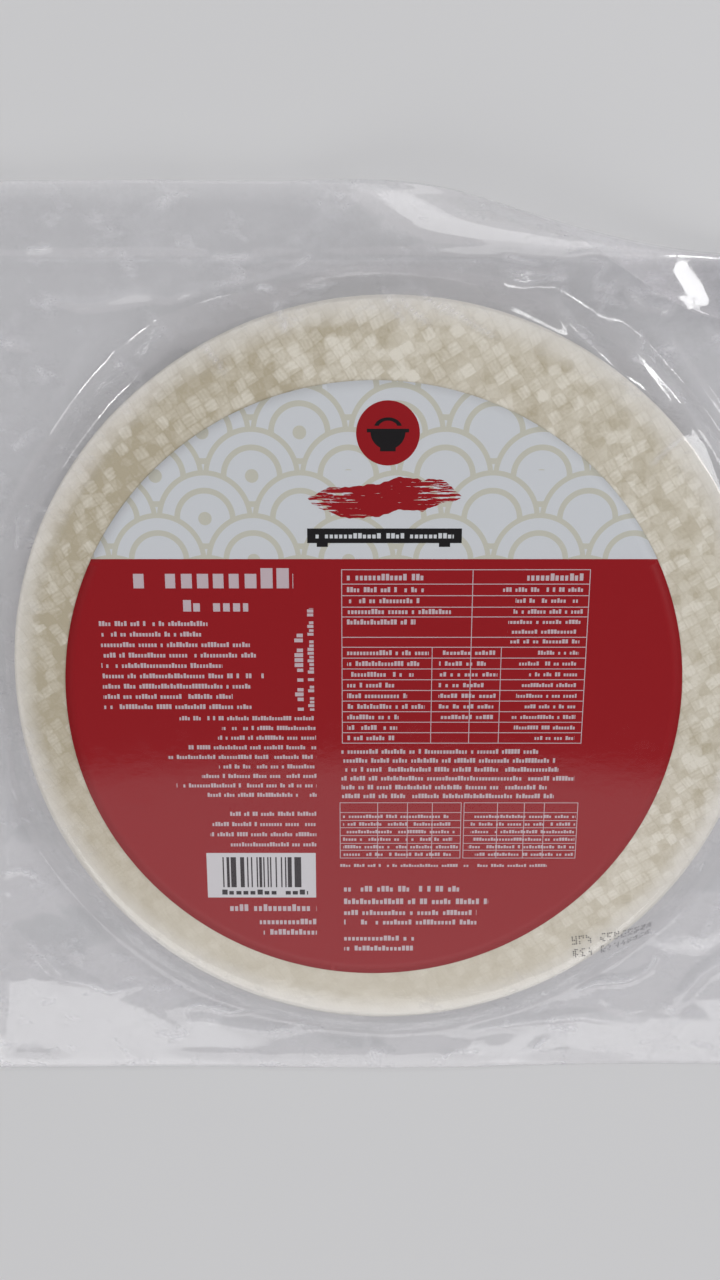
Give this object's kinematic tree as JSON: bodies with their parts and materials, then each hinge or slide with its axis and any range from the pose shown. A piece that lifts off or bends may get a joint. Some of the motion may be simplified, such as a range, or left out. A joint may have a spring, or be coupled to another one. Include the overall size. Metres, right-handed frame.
{
  "type": "rice paper wrapper pack",
  "caption": "Clear sealed bag holding a stack of round 22 cm rice paper wrappers under a round printed paper label, lying flat with the label up",
  "frame": {"origin": "Centre of the stack of wrappers, on the flat underside that the pack lies on.", "axes": "+Z out through the label, +Y towards the sealed top of the bag, +X to the right as the label is looked at."},
  "size_m": [0.258, 0.275, 0.0182],
  "materials": {
    "film": "clear gloss film",
    "rice_paper": "dry, translucent, with a woven relief",
    "label": "coated print"
  },
  "bodies": {
    "root": {"sealed_bag": "film"}
  },
  "joints": []
}
